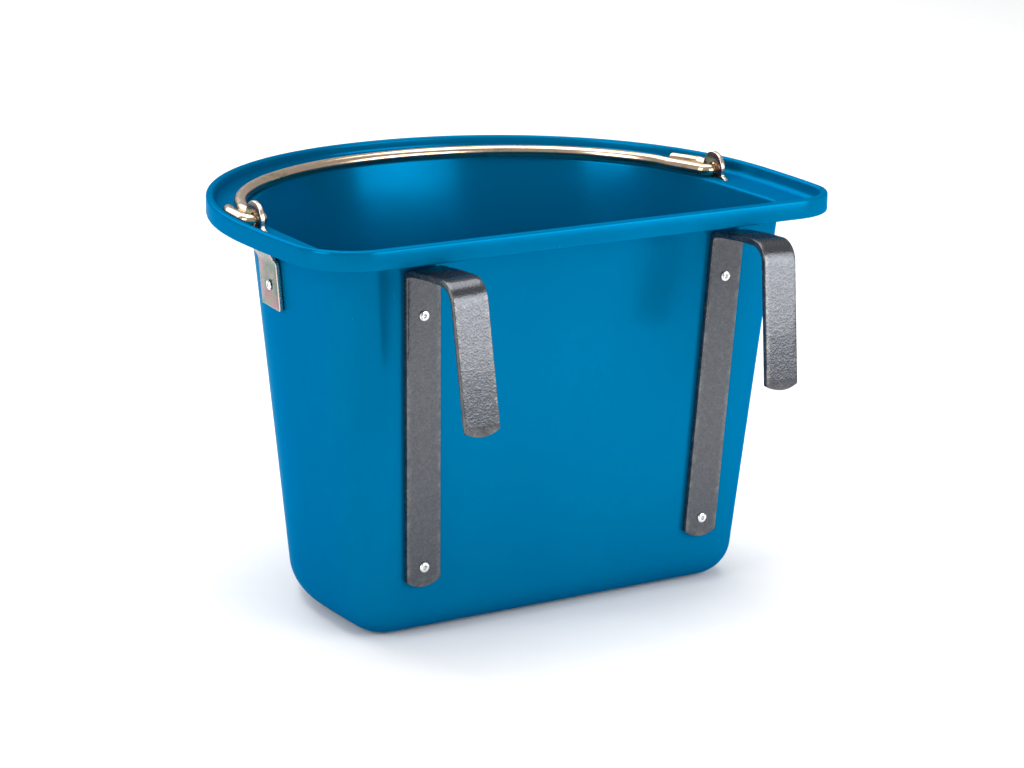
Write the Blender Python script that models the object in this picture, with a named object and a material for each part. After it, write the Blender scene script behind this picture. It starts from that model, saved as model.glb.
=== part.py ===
"""Hook-over feed bucket: a D-shaped moulded manger with two riveted steel hooks and a folding bail.

Frame: origin at the middle of the base's underside, +X to the right as seen from behind,
+Y from the flat back wall to the curved front, +Z up. Lengths are in metres. Depths are
given from the rim's back face, and the whole assembly is moved on to the origin at the end.
"""

import math

import bmesh
import bpy
from mathutils import Matrix, Vector

GAP = 0.0003
ORIGIN_Y = 0.1320

# Heights of the moulding
RIM_TOP_Z = 0.2509
SKIRT_BOTTOM_Z = 0.2389
LEDGE_Z = 0.2416
FLANGE_THICKNESS = 0.0024
WALL_THICKNESS = 0.0026
BASE_EDGE_RADIUS = 0.0203
INSIDE_EDGE_RADIUS = 0.0177

# Plan outlines: flat back, slightly splayed sides, curved front
RIM_PLAN = {"half": 0.1844, "narrowing": 0.0069, "back": 0.0, "knee": 0.1003, "front": 0.2917, "corner": 0.0366}
WALL_PLAN = {"half": 0.1571, "narrowing": 0.0, "back": 0.0245, "knee": 0.1045, "front": 0.2657, "corner": 0.0256}
BASE_PLAN = {"half": 0.1367, "narrowing": 0.0032, "back": 0.0396, "knee": 0.1065, "front": 0.2241, "corner": 0.0256}
FRONT_FULLNESS = 2.1

# Rim section
LIP_WIDTH = 0.0046
LIP_EDGE_RADIUS = 0.0018
SKIRT_EDGE_RADIUS = 0.0010
LEDGE_FILLET = 0.0045
LEDGE_EDGE_RADIUS = 0.0018
UNDER_FLANGE_FILLET = 0.0030
SKIRT_ROOT = 0.0028
SKIRT_FOOT = 0.0025

# Hooks
HOOK_X = 0.1025
HOOK_SPLAY = math.radians(2.1)
HOOK_SPLAY_Z = 0.135
BAR_WIDTH = 0.0225
BAR_THICKNESS = 0.0036
BAR_EDGE = 0.0005
STRIP_BOTTOM_Z = 0.0376
BRIDGE_WALL_Z = 0.2322
BRIDGE_LEG_Z = 0.2354
BRIDGE_CROWN = 0.0008
HOOK_REACH = 0.0565
LEG_FLARE = math.radians(7.8)
LEG_BOTTOM_Z = 0.1502
WALL_SIDE_BEND = 0.0052
LEG_SIDE_BEND = 0.0120
CROWN_BEND = 0.0800
STRIP_END_ARC = 0.0040
LEG_END_ARC = 0.0034
HOOK_RIVETS_Z = (0.0464, 0.2036)

# Bail and its eyes
WIRE_RADIUS = 0.0040
PIVOT_Y = 0.1235
PIVOT_Z = LEDGE_Z + WIRE_RADIUS + GAP
BOW_LEFT_X = -0.1591
BOW_RIGHT_X = 0.1519
BOW_MIDDLE_Y = 0.1295
BOW_REACH = 0.1285
BOW_FIRST_Y = 0.1620
SHANK_LEFT = (-0.1583, 0.1520)
SHANK_RIGHT = (0.1492, 0.1490)
CROOK_LEFT_X = -0.1578
CROOK_RIGHT_X = 0.1575
SHANK_BEND = 0.0300
EYE_OUTER_X = 0.1697
EYE_FLARE = (0.1684, 0.1475)
EYE_TIP_LEFT = (-0.1654, 0.1570)
EYE_TIP_RIGHT = (0.1600, 0.1670)
EYE_FLARE_BEND = 0.0046
EYE_BEND = 0.0058

# Bail brackets
PLATE_THICKNESS = 0.0028
PLATE_NEAR_Y = 0.10625
PLATE_FAR_Y = 0.1341
PLATE_BOTTOM_Z = 0.1930
PLATE_SHOULDER_Z = 0.2245
SHOULDER_RADIUS = 0.0020
NECK_WIDTH = 0.0212
NECK_FLARE = 0.0046
NECK_FLARE_RISE = 0.0025
EAR_X = 0.1637
EAR_RADIUS = 0.0108
EAR_RISE = 0.0012
EAR_HOLE_RADIUS = 0.0049
JOGGLE_START_Z = 0.2200
JOGGLE_END_Z = 0.2360
BRACKET_RIVET_Y = 0.1185
BRACKET_RIVET_Z = 0.2076
SLOT_PLAY = 0.0006
SLOT_DEPTH = 0.0090
SLOT_BELOW_LEDGE = 0.0060

# Blind rivets, their pins and backing washers
RIVET_SHANK_RADIUS = 0.0016
RIVET_HOLE_RADIUS = 0.0019
WALL_HOLE_SPAN = (-0.0060, 0.0030)
METAL_HOLE_SPAN = (-0.0010, 0.0080)
RIVET_HEAD_RADIUS = 0.0032
RIVET_HEAD_HEIGHT = 0.0011
RIVET_BORE_RADIUS = 0.00115
BULGE_RADIUS = 0.0026
BULGE_LENGTH = 0.0030
PIN_RADIUS = 0.00085
PIN_HEAD_RADIUS = 0.00155
PIN_HEAD_LENGTH = 0.0020
PIN_RECESS = 0.0005
PIN_TIP_CHAMFER = 0.0002
WASHER_RADIUS = 0.0050
WASHER_THICKNESS = 0.0008

# Mesh resolution
BACK_STEPS = 5
CORNER_STEPS = 7
BOW_STEPS = 42
WIRE_STEP_ANGLE = 0.3
SIDE_STEPS = 3
FRONT_STEPS = 17
JOGGLE_STEPS = 8
PIN_SIDES = 12
WIRE_SIDES = 14
ROUND_SIDES = 20


def clear_scene():
    for obj in list(bpy.data.objects):
        bpy.data.objects.remove(obj, do_unlink=True)


def make_material(name, colour, metallic, roughness):
    material = bpy.data.materials.new(name)
    material.use_nodes = True
    shader = material.node_tree.nodes["Principled BSDF"]
    shader.inputs["Base Color"].default_value = (*colour, 1.0)
    shader.inputs["Metallic"].default_value = metallic
    shader.inputs["Roughness"].default_value = roughness
    material.diffuse_color = (*colour, 1.0)
    return material


def make_object(name, mesh, material, sharp_angle=35.0):
    """A named object from a bmesh, smooth shaded with its sharp edges kept."""
    bmesh.ops.recalc_face_normals(mesh, faces=mesh.faces)
    data = bpy.data.meshes.new(name)
    mesh.to_mesh(data)
    mesh.free()
    data.materials.append(material)
    data.shade_smooth()
    data.set_sharp_from_angle(angle=math.radians(sharp_angle))
    obj = bpy.data.objects.new(name, data)
    bpy.context.scene.collection.objects.link(obj)
    return obj


def blend(low, high, share):
    """The plan outline part of the way from one outline to another."""
    return {key: low[key] + (high[key] - low[key]) * share for key in low}


def wall_plan(z):
    """The wall's outer outline at a height."""
    return blend(BASE_PLAN, WALL_PLAN, z / SKIRT_BOTTOM_Z)


def right_half(plan):
    """Core points and outward normals from the middle of the back round to the middle of the front."""
    core_half = plan["half"] - plan["corner"]
    low = plan["back"] + plan["corner"]
    rise = plan["knee"] - plan["back"]
    depth = plan["front"] - plan["corner"] - plan["knee"]

    def side(y):
        slack = (plan["knee"] - y) / rise
        lean = 2 * plan["narrowing"] * slack / rise
        return core_half - plan["narrowing"] * slack * slack, Vector((1.0, -lean)).normalized()

    corner_x, first_normal = side(low)
    samples = []
    for i in range(BACK_STEPS):
        samples.append((Vector((corner_x * i / BACK_STEPS, low)), Vector((0.0, -1.0))))
    end_angle = math.atan2(first_normal.y, first_normal.x)
    for i in range(CORNER_STEPS + 1):
        angle = -math.pi / 2 + (end_angle + math.pi / 2) * i / CORNER_STEPS
        samples.append((Vector((corner_x, low)), Vector((math.cos(angle), math.sin(angle)))))
    for i in range(1, SIDE_STEPS + 1):
        y = low + (plan["knee"] - low) * i / SIDE_STEPS
        x, normal = side(y)
        samples.append((Vector((x, y)), normal))
    for i in range(1, FRONT_STEPS + 1):
        turn = 0.5 * math.pi * i / FRONT_STEPS
        across = max(math.cos(turn), 0.0) ** (2 / FRONT_FULLNESS)
        ahead = math.sin(turn) ** (2 / FRONT_FULLNESS)
        normal = Vector((across ** (FRONT_FULLNESS - 1) / core_half, ahead ** (FRONT_FULLNESS - 1) / depth))
        samples.append((Vector((core_half * across, plan["knee"] + depth * ahead)), normal.normalized()))
    return samples


def ring(plan, inset, z):
    """Points round the outline, moved in by the inset, counter-clockwise seen from above."""
    half = [core + normal * (plan["corner"] - inset) for core, normal in right_half(plan)]
    other = [Vector((-point.x, point.y)) for point in reversed(half[1:-1])]
    return [Vector((point.x, point.y, z)) for point in half + other]


def loft(rings, close_ends=True):
    """A closed skin through rings that all have the same number of points."""
    mesh = bmesh.new()
    loops = [[mesh.verts.new(point) for point in points] for points in rings]
    count = len(rings[0])
    for lower, upper in zip(loops, loops[1:]):
        for i in range(count):
            j = (i + 1) % count
            mesh.faces.new((lower[i], lower[j], upper[j], upper[i]))
    if close_ends:
        mesh.faces.new(tuple(reversed(loops[0])))
        mesh.faces.new(tuple(loops[-1]))
    return mesh


def quarter(steps):
    """Sine and cosine pairs through a quarter turn, ends included."""
    turns = [0.5 * math.pi * i / steps for i in range(steps + 1)]
    return [(math.sin(turn), math.cos(turn)) for turn in turns]


def outer_rings():
    rings = []
    for sine, cosine in quarter(5):
        z = BASE_EDGE_RADIUS * (1 - cosine)
        rings.append(ring(wall_plan(z), BASE_EDGE_RADIUS * (1 - sine), z))
    under = LEDGE_Z - FLANGE_THICKNESS
    rings.append(ring(wall_plan(0.5 * under), 0.0, 0.5 * under))
    for sine, cosine in quarter(2):
        z = under - UNDER_FLANGE_FILLET * (1 - sine)
        rings.append(ring(wall_plan(z), -UNDER_FLANGE_FILLET * (1 - cosine), z))
    return rings


def rim_rings():
    """From the flange's underside out to the skirt, over the lip and in along the ledge."""
    under = LEDGE_Z - FLANGE_THICKNESS
    rings = [
        ring(RIM_PLAN, SKIRT_ROOT, under),
        ring(RIM_PLAN, SKIRT_FOOT, SKIRT_BOTTOM_Z),
        ring(RIM_PLAN, SKIRT_EDGE_RADIUS, SKIRT_BOTTOM_Z),
        ring(RIM_PLAN, 0.0, SKIRT_BOTTOM_Z + SKIRT_EDGE_RADIUS),
    ]
    for sine, cosine in quarter(2):
        z = RIM_TOP_Z - LIP_EDGE_RADIUS * (1 - sine)
        rings.append(ring(RIM_PLAN, LIP_EDGE_RADIUS * (1 - cosine), z))
    for sine, cosine in quarter(2):
        z = RIM_TOP_Z - LIP_EDGE_RADIUS * (1 - cosine)
        rings.append(ring(RIM_PLAN, LIP_WIDTH - LIP_EDGE_RADIUS * (1 - sine), z))
    for sine, cosine in quarter(3):
        z = LEDGE_Z + LEDGE_FILLET * (1 - sine)
        rings.append(ring(RIM_PLAN, LIP_WIDTH + LEDGE_FILLET * (1 - cosine), z))
    return rings


def inner_rings():
    rings = []
    for sine, cosine in quarter(2):
        z = LEDGE_Z - LEDGE_EDGE_RADIUS * (1 - cosine)
        inset = WALL_THICKNESS - LEDGE_EDGE_RADIUS * (1 - sine)
        rings.append(ring(wall_plan(LEDGE_Z), inset, z))
    middle = 0.5 * LEDGE_Z
    rings.append(ring(wall_plan(middle), WALL_THICKNESS, middle))
    for sine, cosine in reversed(quarter(5)):
        z = WALL_THICKNESS + INSIDE_EDGE_RADIUS * (1 - cosine)
        rings.append(ring(wall_plan(z), WALL_THICKNESS + INSIDE_EDGE_RADIUS * (1 - sine), z))
    return rings


def cutter(name, mesh):
    """A closed body used only to cut another."""
    bmesh.ops.recalc_face_normals(mesh, faces=mesh.faces)
    data = bpy.data.meshes.new(name)
    mesh.to_mesh(data)
    mesh.free()
    obj = bpy.data.objects.new(name, data)
    obj.hide_render = True
    obj.display_type = "WIRE"
    bpy.context.scene.collection.objects.link(obj)
    return obj


def boolean(obj, other, operation):
    modifier = obj.modifiers.new(other.name, "BOOLEAN")
    modifier.operation = operation
    modifier.solver = "EXACT"
    modifier.object = other


def prism(outline, direction):
    """A closed body from a flat outline pushed along a direction."""
    mesh = bmesh.new()
    near = [mesh.verts.new(point) for point in outline]
    far = [mesh.verts.new(point + direction) for point in outline]
    count = len(outline)
    for i in range(count):
        j = (i + 1) % count
        mesh.faces.new((near[i], near[j], far[j], far[i]))
    mesh.faces.new(tuple(reversed(near)))
    mesh.faces.new(tuple(far))
    return mesh


def tidy_outline(points):
    """The outline without points that repeat their neighbour."""
    kept = []
    for point in points:
        if not kept or (point - kept[-1]).length > 1e-6:
            kept.append(point)
    return kept


def build_shell(material, rivet_frames):
    body = loft(outer_rings() + rim_rings() + inner_rings())
    shell = make_object("bucket_shell", body, material, 40.0)
    for side, word in ((-1, "left"), (1, "right")):
        boolean(shell, cutter("slot_" + word, slot_cutter(side)), "DIFFERENCE")
    for name, frame in rivet_frames.items():
        hole = lathe([(RIVET_HOLE_RADIUS, height) for height in WALL_HOLE_SPAN], ROUND_SIDES)
        hole.transform(frame)
        boolean(shell, cutter("hole_" + name, hole), "DIFFERENCE")
    return shell


def slot_cutter(side):
    """The slot in the flange that the bracket's ear stands through."""
    half_x = 0.5 * PLATE_THICKNESS + SLOT_PLAY
    near_y = PIVOT_Y - 0.5 * NECK_WIDTH - NECK_FLARE - SLOT_PLAY
    far_y = PIVOT_Y + EAR_RADIUS + SLOT_PLAY
    low = LEDGE_Z - SLOT_BELOW_LEDGE
    outline = [
        Vector((side * EAR_X - half_x, near_y, low)),
        Vector((side * EAR_X + half_x, near_y, low)),
        Vector((side * EAR_X + half_x, far_y, low)),
        Vector((side * EAR_X - half_x, far_y, low)),
    ]
    return prism(outline, Vector((0.0, 0.0, SLOT_DEPTH)))


def lathe(profile, sides):
    """A body of revolution about Z from (radius, height) pairs, closed flat at both ends."""
    rings = []
    for radius, height in profile:
        points = []
        for i in range(sides):
            turn = 2 * math.pi * i / sides
            points.append(Vector((radius * math.cos(turn), radius * math.sin(turn), height)))
        rings.append(points)
    return loft(rings)


def hollow_lathe(profile, sides):
    """A ring-shaped body of revolution from a closed loop of (radius, height) pairs."""
    mesh = bmesh.new()
    loops = []
    for radius, height in profile:
        loop = []
        for i in range(sides):
            turn = 2 * math.pi * i / sides
            loop.append(mesh.verts.new((radius * math.cos(turn), radius * math.sin(turn), height)))
        loops.append(loop)
    for lower, upper in zip(loops, loops[1:] + loops[:1]):
        for i in range(sides):
            j = (i + 1) % sides
            mesh.faces.new((lower[i], lower[j], upper[j], upper[i]))
    return mesh


def rounded_path(corners, radii, step_angle=0.2):
    """A path through the corners, each inner one turned with its bend radius."""
    path = [corners[0]]
    for before, corner, after, radius in zip(corners, corners[1:], corners[2:], radii):
        arrive = (corner - before).normalized()
        leave = (after - corner).normalized()
        turn = arrive.angle(leave)
        if turn < 1e-4:
            continue
        setback = radius * math.tan(0.5 * turn)
        start = corner - arrive * setback
        inward = (leave - arrive * arrive.dot(leave)).normalized()
        centre = start + inward * radius
        steps = max(2, math.ceil(turn / step_angle))
        for i in range(steps + 1):
            angle = turn * i / steps
            path.append(centre - inward * radius * math.cos(angle) + arrive * radius * math.sin(angle))
    path.append(corners[-1])
    return tidy_outline(path)


def tangents(path):
    ends = [path[0]] + path + [path[-1]]
    return [(after - before).normalized() for before, after in zip(ends, ends[2:])]


def back_wall_y(z):
    return BASE_PLAN["back"] + (WALL_PLAN["back"] - BASE_PLAN["back"]) * z / SKIRT_BOTTOM_Z


def back_wall_tilt():
    return math.atan2(BASE_PLAN["back"] - WALL_PLAN["back"], SKIRT_BOTTOM_Z)


def hook_frame(side):
    """Splays a hook outwards in the plane of the back wall."""
    pivot = Vector((side * HOOK_X, 0.0, HOOK_SPLAY_Z))
    turn = Matrix.Rotation(side * HOOK_SPLAY, 4, "Y")
    return Matrix.Translation(pivot) @ turn @ Matrix.Translation(-pivot)


def hook_path(side):
    """The bar's centreline: up the wall, over the bridge, down the flared leg."""
    half = 0.5 * BAR_THICKNESS
    inset = (GAP + half) / math.cos(back_wall_tilt())
    wall_side_z = BRIDGE_WALL_Z - half
    leg_side_z = BRIDGE_LEG_Z - half
    leg_top_y = back_wall_y(leg_side_z) - HOOK_REACH + half
    leg_bottom_y = leg_top_y - math.tan(LEG_FLARE) * (leg_side_z - LEG_BOTTOM_Z)
    strip_top_y = back_wall_y(wall_side_z) - inset
    x = side * HOOK_X
    corners = [
        Vector((x, back_wall_y(STRIP_BOTTOM_Z) - inset, STRIP_BOTTOM_Z)),
        Vector((x, strip_top_y, wall_side_z)),
        Vector((x, 0.5 * (strip_top_y + leg_top_y), 0.5 * (wall_side_z + leg_side_z) + BRIDGE_CROWN)),
        Vector((x, leg_top_y, leg_side_z)),
        Vector((x, leg_bottom_y, LEG_BOTTOM_Z)),
    ]
    return rounded_path(corners, (WALL_SIDE_BEND, CROWN_BEND, LEG_SIDE_BEND), 0.16)


def bar_section():
    """Across-width and through-thickness positions round the bar's section."""
    half_w = 0.5 * BAR_WIDTH
    half_t = 0.5 * BAR_THICKNESS
    face = [half_w - BAR_EDGE, 0.6 * half_w, 0.2 * half_w, -0.2 * half_w, -0.6 * half_w, BAR_EDGE - half_w]
    section = [(w, half_t) for w in face]
    section += [(-half_w, half_t - BAR_EDGE), (-half_w, BAR_EDGE - half_t)]
    section += [(w, -half_t) for w in reversed(face)]
    section += [(half_w, BAR_EDGE - half_t), (half_w, half_t - BAR_EDGE)]
    return section


def build_hook(name, side, material):
    path = hook_path(side)
    directions = tangents(path)
    across = Vector((1.0, 0.0, 0.0))
    rings = []
    for i, (point, along) in enumerate(zip(path, directions)):
        outward = across.cross(along)
        end = {0: -STRIP_END_ARC, len(path) - 1: LEG_END_ARC}.get(i, 0.0)
        points = []
        for w, t in bar_section():
            share = w / (0.5 * BAR_WIDTH)
            bulge = end * (1 - share * share)
            points.append(point + across * w + outward * t + along * bulge)
        rings.append(points)
    mesh = loft(rings)
    mesh.transform(hook_frame(side))
    return make_object(name, mesh, material, 30.0)


def arc_outline(centre, radius, start, end, steps):
    points = []
    for i in range(steps + 1):
        turn = start + (end - start) * i / steps
        points.append((centre[0] + radius * math.cos(turn), centre[1] + radius * math.sin(turn)))
    return points


def bracket_outline():
    """The flat bracket's outline as (y, z) pairs: plate, near shoulder, flared neck and round-topped ear."""
    near_y = PIVOT_Y - 0.5 * NECK_WIDTH
    shoulder_z = PLATE_SHOULDER_Z - SHOULDER_RADIUS
    join = math.asin(0.5 * NECK_WIDTH / EAR_RADIUS)
    outline = [(PLATE_FAR_Y, PLATE_BOTTOM_Z)]
    ear_centre = (PIVOT_Y, PIVOT_Z + EAR_RISE)
    outline += arc_outline(ear_centre, EAR_RADIUS, join - 0.5 * math.pi, 1.5 * math.pi - join, 22)
    outline.append((near_y, LEDGE_Z + NECK_FLARE_RISE))
    outline.append((near_y - NECK_FLARE, LEDGE_Z))
    for sine, cosine in reversed(quarter(4)):
        y = PLATE_NEAR_Y + SHOULDER_RADIUS * (1 - cosine)
        outline.append((y, shoulder_z + SHOULDER_RADIUS * sine))
    outline.append((PLATE_NEAR_Y, PLATE_BOTTOM_Z))
    return outline


def wall_side_x(y, z):
    """How far out the right side wall stands at a depth and a height."""
    points = ring(wall_plan(z), 0.0, z)
    for a, b in zip(points, points[1:]):
        if a.x > 0 and a.y <= y <= b.y and b.y > a.y:
            return a.x + (b.x - a.x) * (y - a.y) / (b.y - a.y)
    return WALL_PLAN["half"]


def side_wall_tilt():
    """The side wall's lean from vertical beside a bracket."""
    step = 0.01
    return math.atan2(wall_side_x(BRACKET_RIVET_Y, BRACKET_RIVET_Z + step) - wall_side_x(BRACKET_RIVET_Y, BRACKET_RIVET_Z), step)


def side_wall_turn():
    """How far the side wall has turned inwards, in plan, beside a bracket."""
    step = 0.002
    ahead = wall_side_x(BRACKET_RIVET_Y + step, BRACKET_RIVET_Z)
    behind = wall_side_x(BRACKET_RIVET_Y - step, BRACKET_RIVET_Z)
    return math.atan2(behind - ahead, 2 * step)


def bracket_x(y, z):
    """The plate's middle surface: flat on the wall, then joggled out to the ear."""
    tilt = side_wall_tilt()
    flat = wall_side_x(BRACKET_RIVET_Y, BRACKET_RIVET_Z) + math.tan(tilt) * (z - BRACKET_RIVET_Z)
    flat += (GAP + 0.5 * PLATE_THICKNESS) / math.cos(tilt) - math.tan(side_wall_turn()) * (y - BRACKET_RIVET_Y)
    share = min(max((z - JOGGLE_START_Z) / (JOGGLE_END_Z - JOGGLE_START_Z), 0.0), 1.0)
    share = share * share * (3 - 2 * share)
    return flat + (EAR_X - flat) * share


def build_bracket(name, side, material):
    """The outline cut into levels, so that the plate bends where it is joggled."""
    mesh = bmesh.new()
    flat = [mesh.verts.new((0.0, y, z)) for y, z in bracket_outline()]
    mesh.faces.new(flat)
    hole = [
        mesh.verts.new((0.0, y, z))
        for y, z in arc_outline((PIVOT_Y, PIVOT_Z), EAR_HOLE_RADIUS, 0.0, 2 * math.pi, 24)[:-1]
    ]
    edges = list(mesh.edges)
    edges += [mesh.edges.new((a, b)) for a, b in zip(hole, hole[1:] + hole[:1])]
    bmesh.ops.delete(mesh, geom=list(mesh.faces), context="FACES_ONLY")
    bmesh.ops.triangle_fill(mesh, use_beauty=True, edges=edges, normal=(1.0, 0.0, 0.0))
    for i in range(JOGGLE_STEPS + 1):
        z = JOGGLE_START_Z + (JOGGLE_END_Z - JOGGLE_START_Z) * i / JOGGLE_STEPS
        geometry = list(mesh.verts) + list(mesh.edges) + list(mesh.faces)
        bmesh.ops.bisect_plane(mesh, geom=geometry, dist=1e-6, plane_co=(0, 0, z), plane_no=(0, 0, 1))
    front = list(mesh.verts)
    extruded = bmesh.ops.extrude_face_region(mesh, geom=list(mesh.faces))
    moved = [item for item in extruded["geom"] if isinstance(item, bmesh.types.BMVert)]
    back = set(moved)
    for vert in front + moved:
        offset = 0.5 * PLATE_THICKNESS * (1 if vert in back else -1)
        vert.co.x = side * (bracket_x(vert.co.y, vert.co.z) + offset)
    return make_object(name, mesh, material, 35.0)


def bail_end(tip, flare_x, crook_x, shank):
    """Corners from the wire's tip, round the bracket's ear and up the shank."""
    outer_x = math.copysign(EYE_OUTER_X, flare_x)
    spots = [tip, (flare_x, EYE_FLARE[1]), (outer_x, PIVOT_Y), (crook_x, PIVOT_Y), shank]
    return [Vector((x, y, PIVOT_Z)) for x, y in spots]


def bail_path():
    """The wire's centreline from the left tip round the bow to the right tip."""
    middle = 0.5 * (BOW_LEFT_X + BOW_RIGHT_X)
    half = 0.5 * (BOW_RIGHT_X - BOW_LEFT_X)
    first = math.asin((BOW_FIRST_Y - BOW_MIDDLE_Y) / BOW_REACH)
    bow = []
    for i in range(BOW_STEPS + 1):
        turn = first + (math.pi - 2 * first) * i / BOW_STEPS
        y = BOW_MIDDLE_Y + BOW_REACH * math.sin(turn)
        bow.append(Vector((middle - half * math.cos(turn), y, PIVOT_Z)))
    left = bail_end(EYE_TIP_LEFT, -EYE_FLARE[0], CROOK_LEFT_X, SHANK_LEFT)
    right = bail_end(EYE_TIP_RIGHT, EYE_FLARE[0], CROOK_RIGHT_X, SHANK_RIGHT)
    bends = (EYE_FLARE_BEND, EYE_BEND, EYE_BEND, SHANK_BEND)
    start = rounded_path(left + [bow[0]], bends, WIRE_STEP_ANGLE)[:-1]
    end = rounded_path(right + [bow[-1]], bends, WIRE_STEP_ANGLE)[:-1]
    return start + bow + end[::-1]


def build_bail(material):
    path = bail_path()
    up = Vector((0.0, 0.0, 1.0))
    rings = []
    for point, along in zip(path, tangents(path)):
        across = along.cross(up)
        points = []
        for i in range(WIRE_SIDES):
            turn = 2 * math.pi * i / WIRE_SIDES
            points.append(point + (across * math.cos(turn) + up * math.sin(turn)) * WIRE_RADIUS)
        rings.append(points)
    bail = make_object("bail_handle", loft(rings), material, 50.0)
    pivot = Vector((0.0, PIVOT_Y, PIVOT_Z))
    bail.data.transform(Matrix.Translation(-pivot))
    bail.location = pivot
    return bail


def rivet_frames():
    """For each rivet, a frame on the wall's outer surface whose +Z points out of the wall."""
    frames = {}
    tilt = back_wall_tilt()
    for side, word in ((-1, "left"), (1, "right")):
        for z, place in zip(HOOK_RIVETS_Z, ("lower", "upper")):
            out = Matrix.Rotation(math.radians(90) + tilt, 4, "X")
            spot = Matrix.Translation((side * HOOK_X, back_wall_y(z), z))
            frames[f"hook_{word}_{place}"] = hook_frame(side) @ spot @ out
        turn = Matrix.Rotation(side * side_wall_turn(), 4, "Z")
        out = Matrix.Rotation(side * (math.radians(90) + side_wall_tilt()), 4, "Y")
        spot = Matrix.Translation((side * wall_side_x(BRACKET_RIVET_Y, BRACKET_RIVET_Z), BRACKET_RIVET_Y, BRACKET_RIVET_Z))
        frames[f"bracket_{word}"] = spot @ turn @ out
    return frames


def rivet_profile(outer_face):
    """The blind rivet: domed head, shank and the bulge behind the washer, round an open bore."""
    seat = outer_face + GAP
    washer_face = -(WALL_THICKNESS + GAP + WASHER_THICKNESS + GAP)
    head = [
        (RIVET_BORE_RADIUS, seat + RIVET_HEAD_HEIGHT),
        (0.55 * RIVET_HEAD_RADIUS, seat + RIVET_HEAD_HEIGHT),
        (0.85 * RIVET_HEAD_RADIUS, seat + 0.72 * RIVET_HEAD_HEIGHT),
        (RIVET_HEAD_RADIUS, seat + 0.25 * RIVET_HEAD_HEIGHT),
        (RIVET_HEAD_RADIUS, seat),
        (RIVET_SHANK_RADIUS, seat),
    ]
    bulge = [
        (RIVET_SHANK_RADIUS, washer_face),
        (BULGE_RADIUS, washer_face - 0.15 * BULGE_LENGTH),
        (BULGE_RADIUS, washer_face - 0.6 * BULGE_LENGTH),
        (1.1 * RIVET_SHANK_RADIUS, washer_face - BULGE_LENGTH),
        (RIVET_BORE_RADIUS, washer_face - BULGE_LENGTH),
    ]
    return head + bulge


def pin_profile(outer_face):
    """The rivet's broken-off pin, with the head that pulled the bulge."""
    front = outer_face + GAP + RIVET_HEAD_HEIGHT - PIN_RECESS
    back = -(WALL_THICKNESS + 2 * GAP + WASHER_THICKNESS + BULGE_LENGTH + GAP)
    return [
        (0.45 * PIN_HEAD_RADIUS, back - PIN_HEAD_LENGTH),
        (PIN_HEAD_RADIUS, back - 0.65 * PIN_HEAD_LENGTH),
        (PIN_HEAD_RADIUS, back),
        (PIN_RADIUS, back),
        (PIN_RADIUS, front - PIN_TIP_CHAMFER),
        (0.7 * PIN_RADIUS, front),
    ]


def build_rivet(name, frame, outer_face, materials):
    rivet = hollow_lathe(rivet_profile(outer_face), ROUND_SIDES)
    rivet.transform(frame)
    make_object("rivet_" + name, rivet, materials["rivet"], 35.0)
    pin = lathe(pin_profile(outer_face), PIN_SIDES)
    pin.transform(frame)
    make_object("pin_" + name, pin, materials["pin"], 35.0)
    low = -(WALL_THICKNESS + GAP + WASHER_THICKNESS)
    high = -(WALL_THICKNESS + GAP)
    loop = [(RIVET_HOLE_RADIUS, high), (WASHER_RADIUS, high), (WASHER_RADIUS, low), (RIVET_HOLE_RADIUS, low)]
    washer = hollow_lathe(loop, ROUND_SIDES)
    washer.transform(frame)
    make_object("washer_" + name, washer, materials["washer"], 35.0)


def drill(obj, name, frame):
    hole = lathe([(RIVET_HOLE_RADIUS, height) for height in METAL_HOLE_SPAN], ROUND_SIDES)
    hole.transform(frame)
    boolean(obj, cutter("drill_" + name, hole), "DIFFERENCE")


def main():
    clear_scene()
    materials = {
        "plastic": make_material("blue_plastic", (0.0, 0.18, 0.42), 0.0, 0.25),
        "bar": make_material("hammered_grey_paint", (0.12, 0.12, 0.13), 0.3, 0.4),
        "bail": make_material("passivated_wire", (0.75, 0.62, 0.45), 1.0, 0.25),
        "bracket": make_material("passivated_plate", (0.70, 0.58, 0.48), 1.0, 0.3),
        "rivet": make_material("aluminium_rivet", (0.80, 0.80, 0.80), 1.0, 0.35),
        "pin": make_material("steel_pin", (0.45, 0.45, 0.45), 1.0, 0.4),
        "washer": make_material("zinc_washer", (0.65, 0.65, 0.66), 1.0, 0.35),
    }
    frames = rivet_frames()
    build_shell(materials["plastic"], frames)
    for side, word in ((-1, "left"), (1, "right")):
        hook = build_hook("hook_" + word, side, materials["bar"])
        bracket = build_bracket("bail_bracket_" + word, side, materials["bracket"])
        for place in ("lower", "upper"):
            key = f"hook_{word}_{place}"
            drill(hook, key, frames[key])
            build_rivet(key, frames[key], GAP + BAR_THICKNESS, materials)
        key = f"bracket_{word}"
        drill(bracket, key, frames[key])
        build_rivet(key, frames[key], GAP + PLATE_THICKNESS, materials)
    build_bail(materials["bail"])
    for obj in bpy.data.objects:
        obj.location.y -= ORIGIN_Y


main()
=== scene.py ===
"""Looks for the hook-over feed bucket: fine meshes, procedural materials, studio and camera.

Frame: origin at the middle of the base's underside, +X to the right as seen from behind,
+Y from the flat back wall to the curved front, +Z up. Lengths are in metres. Depths are
given from the rim's back face, and each finished mesh is moved on to the origin.
"""

import math

import bmesh
import bpy
from mathutils import Matrix, Vector, noise


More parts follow.
